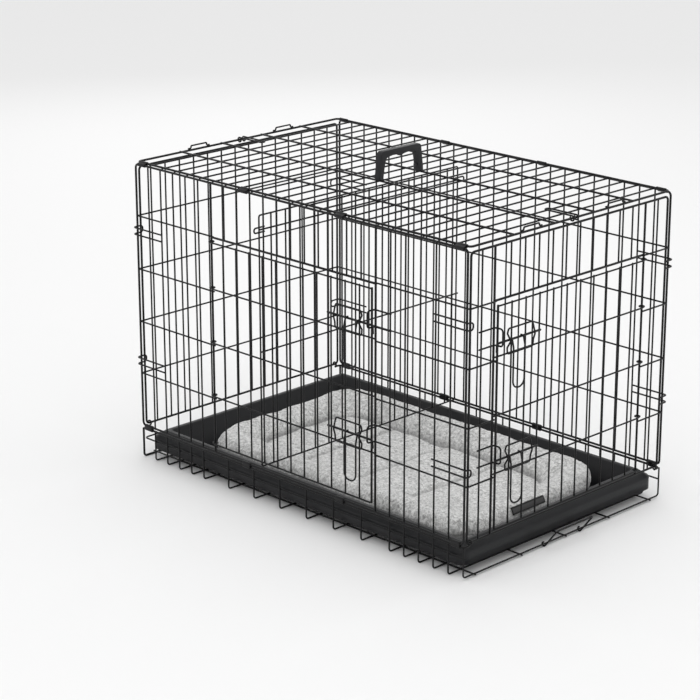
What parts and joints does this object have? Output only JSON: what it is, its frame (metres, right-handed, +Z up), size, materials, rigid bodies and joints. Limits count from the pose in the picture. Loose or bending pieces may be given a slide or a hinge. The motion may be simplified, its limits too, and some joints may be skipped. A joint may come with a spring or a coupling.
{
  "type": "wire dog crate",
  "caption": "Folding black wire dog crate with a front door, an end door, slide-bolt latches, a divider, a slide-out plastic tray, a padded fleece mat and a carry handle on top.",
  "frame": {"origin": "on the floor, under the middle of the crate between its corner posts, at the underside of the middle lengthwise floor wire", "axes": "+X along the length towards the end that has a door, +Z up; the long side with the front door faces -Y"},
  "size_m": [0.9528, 0.614, 0.697],
  "materials": {
    "wire": "semi-gloss black coating on round steel wire",
    "sleeve": "black coated sheet steel, crimped",
    "handle": "moulded, fine grain",
    "tray": "vacuum-formed sheet with a light leather grain",
    "mat": "light grey fleece over a stuffed bolster and a quilted middle"
  },
  "bodies": {
    "crate": {"front_panel": "wire", "back_panel": "wire", "top_panel": "wire", "base_front_hinge_sleeve_1": "sleeve", "base_front_hinge_sleeve_2": "sleeve", "base_front_hinge_sleeve_3": "sleeve", "base_front_hinge_sleeve_4": "sleeve", "top_front_hinge_sleeve_1": "sleeve", "top_front_hinge_sleeve_2": "sleeve", "top_front_hinge_sleeve_3": "sleeve", "top_front_hinge_sleeve_4": "sleeve", "base_back_hinge_sleeve_1": "sleeve", "base_back_hinge_sleeve_2": "sleeve", "base_back_hinge_sleeve_3": "sleeve", "base_back_hinge_sleeve_4": "sleeve", "top_back_hinge_sleeve_1": "sleeve", "top_back_hinge_sleeve_2": "sleeve", "top_back_hinge_sleeve_3": "sleeve", "top_back_hinge_sleeve_4": "sleeve", "front_left_lower_catch": "wire", "front_left_upper_catch": "wire", "front_right_lower_catch": "wire", "front_right_upper_catch": "wire", "back_left_lower_catch": "wire", "back_left_upper_catch": "wire", "back_right_lower_catch": "wire", "back_right_upper_catch": "wire", "top_left_front_tab": "wire", "top_left_back_tab": "wire", "top_right_front_tab": "wire", "top_right_back_tab": "wire", "carry_handle": "handle", "base_floor_grid": "wire", "base_front_skirt": "wire", "base_back_skirt": "wire", "base_left_end_wire": "wire", "divider_panel": "wire", "front_lower_latch_keeper": "wire", "front_upper_latch_keeper": "wire"},
    "left_end": {"left_end_panel": "wire"},
    "right_end": {"right_end_panel": "wire", "end_lower_latch_keeper": "wire", "end_upper_latch_keeper": "wire"},
    "front_door": {"front_door": "wire", "front_lower_latch_bracket": "wire", "front_upper_latch_bracket": "wire"},
    "end_door": {"end_door": "wire", "end_lower_latch_bracket": "wire", "end_upper_latch_bracket": "wire"},
    "front_lower_bolt": {"front_lower_latch_bolt": "wire"},
    "front_upper_bolt": {"front_upper_latch_bolt": "wire"},
    "end_lower_bolt": {"end_lower_latch_bolt": "wire"},
    "end_upper_bolt": {"end_upper_latch_bolt": "wire"},
    "tray": {"tray": "tray", "mat": "mat"},
    "tray_stop": {"tray_stop": "wire"},
    "left_hook": {"left_end_hook": "wire"},
    "right_hook": {"right_end_hook": "wire"}
  },
  "joints": [
    {"name": "left_end_fold", "type": "hinge", "parent": "crate", "child": "left_end", "pos_m": [-0.455, 0, 0.072], "axis": [0, 1, 0], "range_deg": [0, 38]},
    {"name": "right_end_fold", "type": "hinge", "parent": "crate", "child": "right_end", "pos_m": [0.455, 0, 0.072], "axis": [0, 1, 0], "range_deg": [-78, 0]},
    {"name": "front_door_swing", "type": "hinge", "parent": "crate", "child": "front_door", "pos_m": [-0.2275, -0.29, 0.3], "axis": [0, 0, -1], "range_deg": [0, 160]},
    {"name": "end_door_swing", "type": "hinge", "parent": "right_end", "child": "end_door", "pos_m": [0.455, 0.21267, 0.3], "axis": [0, 0, 1], "range_deg": [0, 160]},
    {"name": "front_lower_bolt_turn", "type": "hinge", "parent": "front_door", "child": "front_lower_bolt", "pos_m": [0.18, -0.3022, 0.221], "axis": [-1, 0, 0], "range_deg": [0, 110]},
    {"name": "front_upper_bolt_turn", "type": "hinge", "parent": "front_door", "child": "front_upper_bolt", "pos_m": [0.18, -0.3022, 0.447], "axis": [-1, 0, 0], "range_deg": [0, 110]},
    {"name": "end_lower_bolt_turn", "type": "hinge", "parent": "end_door", "child": "end_lower_bolt", "pos_m": [0.4672, -0.16, 0.221], "axis": [0, -1, 0], "range_deg": [0, 110]},
    {"name": "end_upper_bolt_turn", "type": "hinge", "parent": "end_door", "child": "end_upper_bolt", "pos_m": [0.4672, -0.16, 0.447], "axis": [0, -1, 0], "range_deg": [0, 110]},
    {"name": "tray_play", "type": "slide", "parent": "crate", "child": "tray", "axis": [1, 0, 0], "range_m": [-0.012, 0.02]},
    {"name": "tray_stop_fold", "type": "hinge", "parent": "crate", "child": "tray_stop", "pos_m": [0.455, 0, 0.0056], "axis": [0, 1, 0], "range_deg": [-36, 50]},
    {"name": "left_hook_swing", "type": "hinge", "parent": "crate", "child": "left_hook", "pos_m": [-0.455, 0, 0.6375], "axis": [0, -1, 0], "range_deg": [0, 170]},
    {"name": "right_hook_swing", "type": "hinge", "parent": "crate", "child": "right_hook", "pos_m": [0.455, 0, 0.6375], "axis": [0, 1, 0], "range_deg": [0, 170]}
  ]
}
